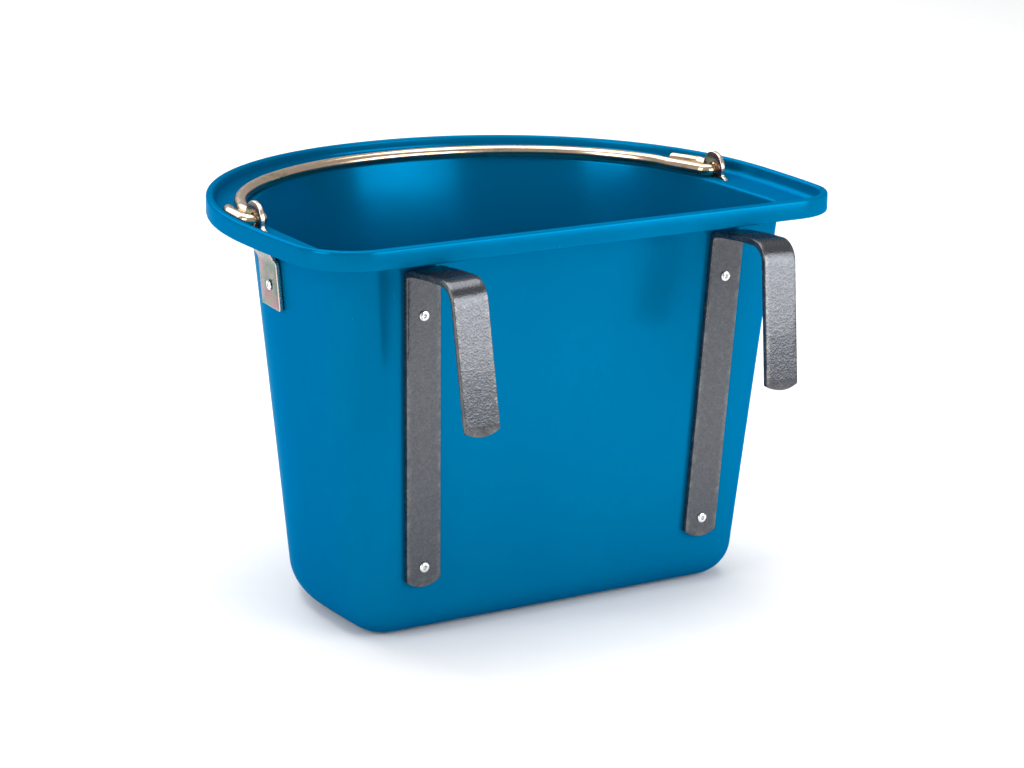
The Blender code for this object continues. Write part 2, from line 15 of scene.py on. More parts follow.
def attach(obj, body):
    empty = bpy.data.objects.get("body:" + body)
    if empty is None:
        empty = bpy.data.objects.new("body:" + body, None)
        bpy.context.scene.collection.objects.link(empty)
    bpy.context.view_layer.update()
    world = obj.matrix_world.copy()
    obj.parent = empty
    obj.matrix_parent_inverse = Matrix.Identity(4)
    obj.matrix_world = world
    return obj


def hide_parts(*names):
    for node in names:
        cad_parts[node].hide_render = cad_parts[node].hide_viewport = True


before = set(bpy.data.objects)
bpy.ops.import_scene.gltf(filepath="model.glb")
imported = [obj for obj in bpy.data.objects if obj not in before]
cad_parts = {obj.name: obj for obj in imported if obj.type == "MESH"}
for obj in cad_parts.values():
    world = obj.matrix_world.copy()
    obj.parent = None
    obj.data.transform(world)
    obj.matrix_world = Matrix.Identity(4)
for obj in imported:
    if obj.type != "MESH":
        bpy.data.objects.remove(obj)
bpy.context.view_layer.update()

GAP = 0.0003
ORIGIN_Y = 0.1320

# Heights of the moulding
RIM_TOP_Z = 0.2509
SKIRT_BOTTOM_Z = 0.2389
LEDGE_Z = 0.2416
FLANGE_THICKNESS = 0.0024
WALL_THICKNESS = 0.0026
BASE_EDGE_RADIUS = 0.0203
INSIDE_EDGE_RADIUS = 0.0177

# Plan outlines: flat back, slightly splayed sides, curved front
RIM_PLAN = {
    "half": 0.1844,
    "narrowing": 0.0069,
    "back": 0.0,
    "knee": 0.1003,
    "front": 0.2917,
    "corner": 0.0366,
}
WALL_PLAN = {
    "half": 0.1571,
    "narrowing": 0.0,
    "back": 0.0245,
    "knee": 0.1045,
    "front": 0.2657,
    "corner": 0.0256,
}
BASE_PLAN = {
    "half": 0.1367,
    "narrowing": 0.0032,
    "back": 0.0396,
    "knee": 0.1065,
    "front": 0.2241,
    "corner": 0.0256,
}
FRONT_FULLNESS = 2.1

# Rim section
LIP_WIDTH = 0.0046
LIP_EDGE_RADIUS = 0.0018
SKIRT_EDGE_RADIUS = 0.0010
SKIRT_ROOT = 0.0028
SKIRT_FOOT = 0.0025
LEDGE_FILLET = 0.0045
LEDGE_EDGE_RADIUS = 0.0018
UNDER_FLANGE_FILLET = 0.0030

# Hooks
HOOK_X = 0.1025
HOOK_SPLAY = math.radians(2.1)
HOOK_SPLAY_Z = 0.135
BAR_WIDTH = 0.0225
BAR_THICKNESS = 0.0036
BAR_EDGE = 0.0005
STRIP_BOTTOM_Z = 0.0376
BRIDGE_WALL_Z = 0.2322
BRIDGE_LEG_Z = 0.2354
BRIDGE_CROWN = 0.0008
HOOK_REACH = 0.0565
LEG_FLARE = math.radians(7.8)
LEG_BOTTOM_Z = 0.1502
WALL_SIDE_BEND = 0.0052
LEG_SIDE_BEND = 0.0120
CROWN_BEND = 0.0800
STRIP_END_ARC = 0.0040
LEG_END_ARC = 0.0034
HOOK_RIVETS_Z = (0.0464, 0.2036)

# Bail and its eyes
WIRE_RADIUS = 0.0040
PIVOT_Y = 0.1235
PIVOT_Z = LEDGE_Z + WIRE_RADIUS + GAP
BOW_LEFT_X = -0.1591
BOW_RIGHT_X = 0.1519
BOW_MIDDLE_Y = 0.1295
BOW_REACH = 0.1285
BOW_FIRST_Y = 0.1620
SHANK_LEFT = (-0.1583, 0.1520)
SHANK_RIGHT = (0.1492, 0.1490)
CROOK_LEFT_X = -0.1578
CROOK_RIGHT_X = 0.1575
SHANK_BEND = 0.0300
EYE_OUTER_X = 0.1697
EYE_FLARE = (0.1684, 0.1475)
EYE_TIP_LEFT = (-0.1654, 0.1570)
EYE_TIP_RIGHT = (0.1600, 0.1670)
EYE_FLARE_BEND = 0.0046
EYE_BEND = 0.0058
WIRE_CUT_EDGE = 0.0006

# Bail brackets
PLATE_THICKNESS = 0.0028
PLATE_NEAR_Y = 0.10625
PLATE_FAR_Y = 0.1341
PLATE_BOTTOM_Z = 0.1930
PLATE_SHOULDER_Z = 0.2245
PLATE_EDGE = 0.0005
PLATE_FOOT_RADIUS = 0.0012
SHOULDER_RADIUS = 0.0020
NECK_WIDTH = 0.0212
NECK_FLARE = 0.0046
NECK_FLARE_RISE = 0.0025
EAR_X = 0.1637
EAR_RADIUS = 0.0108
EAR_RISE = 0.0012
EAR_HOLE_RADIUS = 0.0049
JOGGLE_START_Z = 0.2200
JOGGLE_END_Z = 0.2360
BRACKET_RIVET_Y = 0.1185
BRACKET_RIVET_Z = 0.2076
SLOT_PLAY = 0.0006
SLOT_DEPTH = 0.0090
SLOT_BELOW_LEDGE = 0.0060

# Blind rivets, their pins and backing washers
RIVET_SHANK_RADIUS = 0.0016
RIVET_HOLE_RADIUS = 0.0019
HOLE_DEPTH = 2.3 * WALL_THICKNESS
RIVET_HEAD_RADIUS = 0.0032
RIVET_HEAD_HEIGHT = 0.0011
RIVET_BORE_RADIUS = 0.00115
BULGE_RADIUS = 0.0026
BULGE_LENGTH = 0.0030
PIN_RADIUS = 0.00085
PIN_HEAD_RADIUS = 0.00155
PIN_HEAD_LENGTH = 0.0020
PIN_RECESS = 0.0005
WASHER_RADIUS = 0.0050
WASHER_THICKNESS = 0.0008

# The pin's torn end
PIN_TEAR = 0.00022
PIN_TEAR_GRAIN = 1400
PIN_TEAR_MIDDLE = 0.4

# Mesh resolution: steps round the outline, then up the tub's section
BACK_STEPS = 22
CORNER_STEPS = 14
SIDE_STEPS = 12
FRONT_STEPS = 64
BASE_EDGE_STEPS = 12
WALL_LEVELS = 18
FILLET_STEPS = 5
SKIRT_EDGE_STEPS = 4
LIP_EDGE_STEPS = 6
LEDGE_LEVELS = 5

# Mesh resolution: bars, plates, wire and rivets
BEND_STEP = 0.07
BAR_STEP = 0.004
BAR_FACE_STEPS = 8
BAR_EDGE_STEPS = 3
SHARPEST_BAR_EDGE = 0.0001
PLATE_EDGE_STEPS = 3
FOOT_STEPS = 4
SHOULDER_STEPS = 6
FLARE_STEPS = 6
EAR_STEPS = 48
EAR_HOLE_STEPS = 40
RIVET_HOLE_STEPS = 24
JOGGLE_LEVELS = 16
WIRE_BEND_STEP = 0.12
WIRE_SIDES = 28
WIRE_CUT_STEPS = 3
BOW_STEPS = 160
ROUND_SIDES = 48
RIVET_HEAD_STEPS = 8
BULGE_STEPS = 8
PIN_SIDES = 24
PIN_HEAD_STEPS = 6

# Angles over which an edge stays sharp, in degrees
TUB_SHARP = 38.0
BAR_SHARP = 50.0
WIRE_SHARP = 60.0
RIVET_SHARP = 40.0

# Camera
CAMERA_PLACE = Vector((-0.9155, -1.5798, 0.6277))
CAMERA_AZIMUTH = math.radians(-30.625)
CAMERA_ELEVATION = math.radians(15.476)
CAMERA_ROLL = math.radians(0.56)
CAMERA_LENS = 105.45
CAMERA_SENSOR = 36.0
CAMERA_SHIFT = (-0.0011, -0.0001)
CAMERA_CLIP_START = 0.05

# Floor
FLOOR_REACH = 14.0
FLOOR_SIDES = 96
FLOOR_Z = -0.0004

# Studio: name, place, target, width, height and, for a light, watts
WORLD_STRENGTH = 0.42
SOFTBOXES = (
    ("softbox_near", (0.27, -0.66, 0.39), (0.001, -0.17, 0.39), 0.62, 0.45, 3.7),
    ("softbox_right", (1.15, -2.15, 0.62), (0.10, -0.14, 0.62), 1.6, 1.0, 9.0),
    ("softbox_left", (-2.3, -0.3, 1.1), (0.0, 0.0, 0.12), 1.2, 1.6, 33.0),
    ("softbox_top", (0.1, 0.3, 2.3), (0.0, 0.0, 0.2), 2.2, 1.8, 46.0),
    ("wash_behind", (0.0, 3.6, 2.2), (0.6, 3.0, 0.0), 4.0, 3.0, 110.0),
)
BLACK_CARDS = (
    ("card_low", (0.544, -1.183, 0.062), (0.0, -0.17, 0.062), 1.40, 0.124),
)


def shifted(mesh):
    """Moves a mesh from depths given from the rim to the record's frame."""
    mesh.transform(Matrix.Translation((0.0, -ORIGIN_Y, 0.0)))


def make_piece(name, mesh, material, sharp_angle):
    """A named object from a bmesh, smooth shaded with its sharp edges kept."""
    bmesh.ops.recalc_face_normals(mesh, faces=mesh.faces)
    shifted(mesh)
    data = bpy.data.meshes.new(name)
    mesh.to_mesh(data)
    mesh.free()
    data.materials.append(material)
    data.shade_smooth()
    data.set_sharp_from_angle(angle=math.radians(sharp_angle))
    obj = bpy.data.objects.new(name, data)
    bpy.context.scene.collection.objects.link(obj)
    return obj


def blend_plans(low, high, share):
    """The plan that lies a share of the way from one plan to another."""
    return {key: low[key] + (high[key] - low[key]) * share for key in low}


def wall_plan(z):
    """The wall's outer outline at a height."""
    return blend_plans(BASE_PLAN, WALL_PLAN, z / SKIRT_BOTTOM_Z)


def right_half(plan):
    """Core points and outward normals from the middle of the back round to the middle of the front."""
    core_half = plan["half"] - plan["corner"]
    low = plan["back"] + plan["corner"]
    rise = plan["knee"] - plan["back"]
    depth = plan["front"] - plan["corner"] - plan["knee"]

    def side(y):
        slack = (plan["knee"] - y) / rise
        lean = 2 * plan["narrowing"] * slack / rise
        return core_half - plan["narrowing"] * slack * slack, Vector((1.0, -lean)).normalized()

    corner_x, first_normal = side(low)
    samples = []
    for i in range(BACK_STEPS):
        samples.append((Vector((corner_x * i / BACK_STEPS, low)), Vector((0.0, -1.0))))
    end_angle = math.atan2(first_normal.y, first_normal.x)
    for i in range(CORNER_STEPS + 1):
        angle = -math.pi / 2 + (end_angle + math.pi / 2) * i / CORNER_STEPS
        samples.append((Vector((corner_x, low)), Vector((math.cos(angle), math.sin(angle)))))
    for i in range(1, SIDE_STEPS + 1):
        y = low + (plan["knee"] - low) * i / SIDE_STEPS
        x, normal = side(y)
        samples.append((Vector((x, y)), normal))
    for i in range(1, FRONT_STEPS + 1):
        turn = 0.5 * math.pi * i / FRONT_STEPS
        across = max(math.cos(turn), 0.0) ** (2 / FRONT_FULLNESS)
        ahead = math.sin(turn) ** (2 / FRONT_FULLNESS)
        normal = Vector((across ** (FRONT_FULLNESS - 1) / core_half, ahead ** (FRONT_FULLNESS - 1) / depth))
        samples.append((Vector((core_half * across, plan["knee"] + depth * ahead)), normal.normalized()))
    return samples


def ring(plan, inset, z):
    """Points round the outline, moved in by the inset, counter-clockwise seen from above."""
    half = [core + normal * (plan["corner"] - inset) for core, normal in right_half(plan)]
    other = [Vector((-point.x, point.y)) for point in reversed(half[1:-1])]
    return [Vector((point.x, point.y, z)) for point in half + other]


def add_bands(mesh, loops):
    """Joins each closed loop of points to the next with a band of faces."""
    count = len(loops[0])
    for lower, upper in zip(loops, loops[1:]):
        for i in range(count):
            j = (i + 1) % count
            mesh.faces.new((lower[i], lower[j], upper[j], upper[i]))


def loft(rings, ends=True):
    """A skin through rings that all have the same number of points, closed by a face at each end."""
    mesh = bmesh.new()
    loops = [[mesh.verts.new(point) for point in points] for points in rings]
    add_bands(mesh, loops)
    if ends:
        mesh.faces.new(tuple(reversed(loops[0])))
        mesh.faces.new(tuple(loops[-1]))
    return mesh


def quarter(steps):
    """Sine and cosine pairs through a quarter turn, ends included."""
    turns = [0.5 * math.pi * i / steps for i in range(steps + 1)]
    return [(math.sin(turn), math.cos(turn)) for turn in turns]


def outer_rings():
    """From the base's edge up the outer wall to the flange's underside."""
    rings = []
    for sine, cosine in quarter(BASE_EDGE_STEPS):
        z = BASE_EDGE_RADIUS * (1 - cosine)
        rings.append(ring(wall_plan(z), BASE_EDGE_RADIUS * (1 - sine), z))
    under = LEDGE_Z - FLANGE_THICKNESS
    for i in range(1, WALL_LEVELS):
        z = BASE_EDGE_RADIUS + (under - UNDER_FLANGE_FILLET - BASE_EDGE_RADIUS) * i / WALL_LEVELS
        rings.append(ring(wall_plan(z), 0.0, z))
    for sine, cosine in quarter(FILLET_STEPS):
        z = under - UNDER_FLANGE_FILLET * (1 - sine)
        rings.append(ring(wall_plan(z), -UNDER_FLANGE_FILLET * (1 - cosine), z))
    return rings


def rim_rings():
    """From the flange's underside out to the skirt, over the lip and in along the ledge."""
    under = LEDGE_Z - FLANGE_THICKNESS
    rings = [
        ring(RIM_PLAN, SKIRT_ROOT, under),
        ring(RIM_PLAN, SKIRT_FOOT, SKIRT_BOTTOM_Z),
        ring(RIM_PLAN, 0.5 * (SKIRT_FOOT + SKIRT_EDGE_RADIUS), SKIRT_BOTTOM_Z),
    ]
    for sine, cosine in quarter(SKIRT_EDGE_STEPS):
        z = SKIRT_BOTTOM_Z + SKIRT_EDGE_RADIUS * (1 - cosine)
        rings.append(ring(RIM_PLAN, SKIRT_EDGE_RADIUS * (1 - sine), z))
    rings.append(ring(RIM_PLAN, 0.0, 0.5 * (SKIRT_BOTTOM_Z + RIM_TOP_Z)))
    for sine, cosine in quarter(LIP_EDGE_STEPS):
        z = RIM_TOP_Z - LIP_EDGE_RADIUS * (1 - sine)
        rings.append(ring(RIM_PLAN, LIP_EDGE_RADIUS * (1 - cosine), z))
    for sine, cosine in quarter(LIP_EDGE_STEPS):
        z = RIM_TOP_Z - LIP_EDGE_RADIUS * (1 - cosine)
        rings.append(ring(RIM_PLAN, LIP_WIDTH - LIP_EDGE_RADIUS * (1 - sine), z))
    for sine, cosine in quarter(FILLET_STEPS):
        z = LEDGE_Z + LEDGE_FILLET * (1 - sine)
        rings.append(ring(RIM_PLAN, LIP_WIDTH + LEDGE_FILLET * (1 - cosine), z))
    return rings


def ledge_rings():
    """Across the flat ledge, from the lip's foot to the wall's rounded inner edge."""
    rings = []
    lip = ring(RIM_PLAN, LIP_WIDTH + LEDGE_FILLET, LEDGE_Z)
    edge = ring(wall_plan(LEDGE_Z), WALL_THICKNESS - LEDGE_EDGE_RADIUS, LEDGE_Z)
    for i in range(1, LEDGE_LEVELS):
        share = i / LEDGE_LEVELS
        rings.append([a.lerp(b, share) for a, b in zip(lip, edge)])
    return rings


def inner_rings():
    """From the ledge's rounded edge down the inner wall to the inside of the base."""
    rings = []
    for sine, cosine in quarter(FILLET_STEPS):
        z = LEDGE_Z - LEDGE_EDGE_RADIUS * (1 - cosine)
        inset = WALL_THICKNESS - LEDGE_EDGE_RADIUS * (1 - sine)
        rings.append(ring(wall_plan(LEDGE_Z), inset, z))
    top = LEDGE_Z - LEDGE_EDGE_RADIUS
    bottom = WALL_THICKNESS + INSIDE_EDGE_RADIUS
    for i in range(1, WALL_LEVELS):
        z = top + (bottom - top) * i / WALL_LEVELS
        rings.append(ring(wall_plan(z), WALL_THICKNESS, z))
    for sine, cosine in reversed(quarter(BASE_EDGE_STEPS)):
        z = WALL_THICKNESS + INSIDE_EDGE_RADIUS * (1 - cosine)
        rings.append(ring(wall_plan(z), WALL_THICKNESS + INSIDE_EDGE_RADIUS * (1 - sine), z))
    return rings


def cut(obj, mesh):
    """Cuts a closed body away from a piece and keeps only the result."""
    bmesh.ops.recalc_face_normals(mesh, faces=mesh.faces)
    shifted(mesh)
    data = bpy.data.meshes.new("cutter")
    mesh.to_mesh(data)
    mesh.free()
    data.shade_smooth()
    other = bpy.data.objects.new("cutter", data)
    bpy.context.scene.collection.objects.link(other)
    modifier = obj.modifiers.new("cut", "BOOLEAN")
    modifier.operation = "DIFFERENCE"
    modifier.solver = "EXACT"
    modifier.object = other
    apply_modifiers(obj)
    bpy.data.objects.remove(other)


def apply_modifiers(obj):
    """Gives the piece the mesh that its modifiers make."""
    bpy.context.view_layer.update()
    graph = bpy.context.evaluated_depsgraph_get()
    data = bpy.data.meshes.new_from_object(obj.evaluated_get(graph))
    obj.modifiers.clear()
    obj.data = data


def joined(meshes):
    """One bmesh from several."""
    whole = bmesh.new()
    for mesh in meshes:
        part = bpy.data.meshes.new("part")
        mesh.to_mesh(part)
        mesh.free()
        whole.from_mesh(part)
        bpy.data.meshes.remove(part)
    return whole


def prism(outline, direction):
    """A closed body from a flat outline pushed along a direction."""
    return loft([outline, [point + direction for point in outline]])


def tidy_outline(points, closest=1e-6):
    """The outline without points that lie closer than this to their neighbour."""
    kept = []
    for point in points:
        if not kept or (point - kept[-1]).length > closest:
            kept.append(point)
    return kept


def slot_body(side):
    """The slot in the flange that the bracket's ear stands through."""
    half_x = 0.5 * PLATE_THICKNESS + SLOT_PLAY
    near_y = PIVOT_Y - 0.5 * NECK_WIDTH - NECK_FLARE - SLOT_PLAY
    far_y = PIVOT_Y + EAR_RADIUS + SLOT_PLAY
    low = LEDGE_Z - SLOT_BELOW_LEDGE
    corners = ((-half_x, near_y), (half_x, near_y), (half_x, far_y), (-half_x, far_y))
    outline = [Vector((side * EAR_X + x, y, low)) for x, y in corners]
    return prism(outline, Vector((0.0, 0.0, SLOT_DEPTH)))


def lathe(profile, sides, closed=False):
    """A body of revolution about Z from (radius, height) pairs; closed means the profile is a loop."""
    rings = []
    for radius, height in profile + (profile[:1] if closed else []):
        turns = [2 * math.pi * i / sides for i in range(sides)]
        rings.append([Vector((radius * math.cos(turn), radius * math.sin(turn), height)) for turn in turns])
    mesh = loft(rings, not closed)
    if closed:
        bmesh.ops.remove_doubles(mesh, verts=mesh.verts, dist=1e-7)
    return mesh


def hole_body(frame_matrix, low, high):
    """A rivet hole's cutter, from one height to another in the rivet's frame."""
    hole = lathe([(RIVET_HOLE_RADIUS, low), (RIVET_HOLE_RADIUS, high)], ROUND_SIDES)
    hole.transform(frame_matrix)
    return hole


def build_shell(material, frames):
    """The moulded tub, with its slots and rivet holes cut."""
    body = loft(outer_rings() + rim_rings() + ledge_rings() + inner_rings())
    shell = make_piece("tub", body, material, TUB_SHARP)
    openings = [slot_body(-1), slot_body(1)]
    for frame_matrix in frames.values():
        openings.append(hole_body(frame_matrix, -HOLE_DEPTH, WALL_THICKNESS))
    cut(shell, joined(openings))
    shell.data.shade_smooth()
    shell.data.set_sharp_from_angle(angle=math.radians(TUB_SHARP))
    return shell


def rounded_path(corners, radii, step_angle):
    """A path through the corners, each inner one turned with its bend radius."""
    path = [corners[0]]
    for before, corner, after, radius in zip(corners, corners[1:], corners[2:], radii):
        arrive = (corner - before).normalized()
        leave = (after - corner).normalized()
        turn = arrive.angle(leave)
        if turn < 1e-4:
            continue
        start = corner - arrive * radius * math.tan(0.5 * turn)
        inward = (leave - arrive * arrive.dot(leave)).normalized()
        centre = start + inward * radius
        steps = max(2, math.ceil(turn / step_angle))
        for i in range(steps + 1):
            angle = turn * i / steps
            path.append(centre - inward * radius * math.cos(angle) + arrive * radius * math.sin(angle))
    path.append(corners[-1])
    return tidy_outline(path)


def refined(path, longest):
    """The path with its long straight stretches divided."""
    fine = [path[0]]
    for start, end in zip(path, path[1:]):
        steps = max(1, math.ceil((end - start).length / longest))
        fine += [start.lerp(end, i / steps) for i in range(1, steps + 1)]
    return fine


def tangents(path):
    """The path's direction at each of its points."""
    ends = [path[0]] + path + [path[-1]]
    return [(after - before).normalized() for before, after in zip(ends, ends[2:])]


def back_wall_y(z):
    """Where the back wall's outer face stands at a height."""
    return BASE_PLAN["back"] + (WALL_PLAN["back"] - BASE_PLAN["back"]) * z / SKIRT_BOTTOM_Z


def back_wall_tilt():
    """The back wall's lean from vertical."""
    return math.atan2(BASE_PLAN["back"] - WALL_PLAN["back"], SKIRT_BOTTOM_Z)


def hook_frame(side):
    """Splays a hook outwards in the plane of the back wall."""
    pivot = Vector((side * HOOK_X, 0.0, HOOK_SPLAY_Z))
    turn = Matrix.Rotation(side * HOOK_SPLAY, 4, "Y")
    return Matrix.Translation(pivot) @ turn @ Matrix.Translation(-pivot)


def hook_path(side):
    """The bar's centreline: up the wall, over the bridge, down the flared leg."""
    half = 0.5 * BAR_THICKNESS
    inset = (GAP + half) / math.cos(back_wall_tilt())
    wall_side_z = BRIDGE_WALL_Z - half
    leg_side_z = BRIDGE_LEG_Z - half
    leg_top_y = back_wall_y(leg_side_z) - HOOK_REACH + half
    leg_bottom_y = leg_top_y - math.tan(LEG_FLARE) * (leg_side_z - LEG_BOTTOM_Z)
    strip_top_y = back_wall_y(wall_side_z) - inset
    crown_z = 0.5 * (wall_side_z + leg_side_z) + BRIDGE_CROWN
    x = side * HOOK_X
    corners = [
        Vector((x, back_wall_y(STRIP_BOTTOM_Z) - inset, STRIP_BOTTOM_Z)),
        Vector((x, strip_top_y, wall_side_z)),
        Vector((x, 0.5 * (strip_top_y + leg_top_y), crown_z)),
        Vector((x, leg_top_y, leg_side_z)),
        Vector((x, leg_bottom_y, LEG_BOTTOM_Z)),
    ]
    bends = (WALL_SIDE_BEND, CROWN_BEND, LEG_SIDE_BEND)
    return refined(rounded_path(corners, bends, BEND_STEP), BAR_STEP)


def bar_section(inset):
    """Across-width, through-thickness and wear round the bar's rounded section."""
    half_w = 0.5 * BAR_WIDTH - inset
    half_t = 0.5 * BAR_THICKNESS - inset
    edge = max(BAR_EDGE - inset, SHARPEST_BAR_EDGE)
    section = []
    for turn, sign_w, sign_t in ((0, 1, 1), (1, -1, 1), (2, -1, -1), (3, 1, -1)):
        centre_w = sign_w * (half_w - edge)
        centre_t = sign_t * (half_t - edge)
        for i in range(BAR_EDGE_STEPS + 1):
            angle = 0.5 * math.pi * (turn + i / BAR_EDGE_STEPS)
            section.append((centre_w + edge * math.cos(angle), centre_t + edge * math.sin(angle), 1.0))
        if turn in (0, 2):
            start = section[-1][0]
            end = -start
            for i in range(1, BAR_FACE_STEPS):
                section.append((start + (end - start) * i / BAR_FACE_STEPS, section[-1][1], 0.0))
    return section


def bar_rings(path):
    """Rings along the bar, with its arc-shaped ends rounded over, and how rubbed each point is."""
    ends = {0: -STRIP_END_ARC, len(path) - 1: LEG_END_ARC}
    across = Vector((1.0, 0.0, 0.0))
    rings = []
    edge_wear_and_glint = []

    def add(point, along, end, inset, back):
        outward = across.cross(along)
        points = []
        for w, t, worn in bar_section(inset):
            share = w / (0.5 * BAR_WIDTH)
            bulge = end * (1 - share * share) - math.copysign(back, end)
            points.append(point + across * w + outward * t + along * bulge)
            edge_wear_and_glint.append(1.0 if end else worn)
        rings.append(points)

    for i, (point, along) in enumerate(zip(path, tangents(path))):
        end = ends.get(i, 0.0)
        if not end:
            add(point, along, 0.0, 0.0, 0.0)
            continue
        turns = quarter(BAR_EDGE_STEPS)
        if end > 0:
            turns = list(reversed(turns))
        for sine, cosine in turns:
            add(point, along, end, BAR_EDGE * (1 - sine), BAR_EDGE * (1 - cosine))
    return rings, edge_wear_and_glint


def store_edge_wear_and_glint(piece, edge_wear_and_glint):
    """Stores, for the material to read, how rubbed each point of a hook is, and which points of a bracket get
    the painted edge highlight.
    """
    attribute = piece.data.attributes.new("edge_wear_and_glint", "FLOAT", "POINT")
    attribute.data.foreach_set("value", edge_wear_and_glint)


def build_hook(name, side, material, holes):
    """One bent bar, with its rivet holes cut."""
    rings, edge_wear_and_glint = bar_rings(hook_path(side))
    mesh = loft(rings)
    mesh.transform(hook_frame(side))
    piece = make_piece(name, mesh, material, BAR_SHARP)
    store_edge_wear_and_glint(piece, edge_wear_and_glint)
    cut(piece, joined(holes))
    piece.data.set_sharp_from_angle(angle=math.radians(BAR_SHARP))
    return piece


def arc_outline(centre, radius, start, end, steps):
    """Points along an arc, from one angle to another."""
    points = []
    for i in range(steps + 1):
        turn = start + (end - start) * i / steps
        points.append(Vector((centre[0] + radius * math.cos(turn), centre[1] + radius * math.sin(turn))))
    return points


def bracket_outline():
    """The flat bracket's outline as (y, z) pairs: plate, round-topped ear, flared neck and near shoulder."""
    shoulder_z = PLATE_SHOULDER_Z - SHOULDER_RADIUS
    join = math.asin(0.5 * NECK_WIDTH / EAR_RADIUS)
    foot = PLATE_FOOT_RADIUS
    far_foot = (PLATE_FAR_Y - foot, PLATE_BOTTOM_Z + foot)
    near_foot = (PLATE_NEAR_Y + foot, PLATE_BOTTOM_Z + foot)
    outline = arc_outline(far_foot, foot, -0.5 * math.pi, 0.0, FOOT_STEPS)
    ear_centre = (PIVOT_Y, PIVOT_Z + EAR_RISE)
    outline += arc_outline(ear_centre, EAR_RADIUS, join - 0.5 * math.pi, 1.5 * math.pi - join, EAR_STEPS)
    outline += flare_outline()
    for sine, cosine in reversed(quarter(SHOULDER_STEPS)):
        y = PLATE_NEAR_Y + SHOULDER_RADIUS * (1 - cosine)
        outline.append(Vector((y, shoulder_z + SHOULDER_RADIUS * sine)))
    outline += arc_outline(near_foot, foot, math.pi, 1.5 * math.pi, FOOT_STEPS)
    return tidy_outline(outline, 1e-5)


def flare_outline():
    """The neck's near edge, sweeping out where it meets the ledge."""
    near_y = PIVOT_Y - 0.5 * NECK_WIDTH
    points = []
    for i in range(FLARE_STEPS + 1):
        share = i / FLARE_STEPS
        y = near_y - NECK_FLARE * share * share
        points.append(Vector((y, LEDGE_Z + NECK_FLARE_RISE * (1 - share))))
    return points


def inset_outline(outline, inset):
    """A closed (y, z) outline, counter-clockwise, moved inwards."""
    count = len(outline)
    moved = []
    for i, point in enumerate(outline):
        before = (point - outline[i - 1]).normalized()
        after = (outline[(i + 1) % count] - point).normalized()
        along = (before + after).normalized()
        moved.append(point + Vector((-along.y, along.x)) * inset)
    return moved


def wall_side_x(y, z):
    """How far out the right side wall stands at a depth and a height."""
    points = ring(wall_plan(z), 0.0, z)
    for a, b in zip(points, points[1:]):
        if a.x > 0 and a.y <= y <= b.y and b.y > a.y:
            return a.x + (b.x - a.x) * (y - a.y) / (b.y - a.y)
    return WALL_PLAN["half"]


def side_wall_tilt():
    """The side wall's lean from vertical beside a bracket."""
    rise = 0.01
    low = wall_side_x(BRACKET_RIVET_Y, BRACKET_RIVET_Z)
    high = wall_side_x(BRACKET_RIVET_Y, BRACKET_RIVET_Z + rise)
    return math.atan2(high - low, rise)


def side_wall_turn():
    """How far the side wall has turned inwards, in plan, beside a bracket."""
    step = 0.002
    ahead = wall_side_x(BRACKET_RIVET_Y + step, BRACKET_RIVET_Z)
    behind = wall_side_x(BRACKET_RIVET_Y - step, BRACKET_RIVET_Z)
    return math.atan2(behind - ahead, 2 * step)


def bracket_x_surface():
    """The plate's middle surface as a function: flat on the wall, then joggled out to the ear."""
    tilt = side_wall_tilt()
    wall = wall_side_x(BRACKET_RIVET_Y, BRACKET_RIVET_Z)
    foot = wall + (GAP + 0.5 * PLATE_THICKNESS) / math.cos(tilt)
    lean = math.tan(tilt)
    turn = math.tan(side_wall_turn())

    def surface(y, z):
        flat = foot + lean * (z - BRACKET_RIVET_Z) - turn * (y - BRACKET_RIVET_Y)
        share = min(max((z - JOGGLE_START_Z) / (JOGGLE_END_Z - JOGGLE_START_Z), 0.0), 1.0)
        share = share * share * (3 - 2 * share)
        return flat + (EAR_X - flat) * share

    return surface


def hole_outline(centre, radius, steps):
    """A hole's outline, clockwise, so that moving it inwards widens the hole."""
    return list(reversed(arc_outline(centre, radius, 0.0, 2 * math.pi, steps)[:-1]))


def flat_plate():
    """The bracket before bending: outline and holes as rounded-over bands, closed by two faces."""
    mesh = bmesh.new()
    half = 0.5 * PLATE_THICKNESS
    levels = []
    for sine, cosine in quarter(PLATE_EDGE_STEPS):
        levels.append((PLATE_EDGE * (1 - sine), -half + PLATE_EDGE * (1 - cosine)))
    levels += [(inset, -x) for inset, x in reversed(levels)]
    faces = {0: [], len(levels) - 1: []}
    ear_hole = hole_outline((PIVOT_Y, PIVOT_Z), EAR_HOLE_RADIUS, EAR_HOLE_STEPS)
    rivet_hole = hole_outline((BRACKET_RIVET_Y, BRACKET_RIVET_Z), RIVET_HOLE_RADIUS, RIVET_HOLE_STEPS)
    for outline in (bracket_outline(), ear_hole, rivet_hole):
        loops = []
        for inset, x in levels:
            moved = inset_outline(outline, inset)
            loops.append([mesh.verts.new((x, point.x, point.y)) for point in moved])
        add_bands(mesh, loops)
        for level in faces:
            verts = loops[level]
            faces[level] += [mesh.edges.get((a, b)) for a, b in zip(verts, verts[1:] + verts[:1])]
    for edges in faces.values():
        bmesh.ops.triangle_fill(mesh, use_beauty=True, use_dissolve=False, edges=edges, normal=(1.0, 0.0, 0.0))
    return mesh


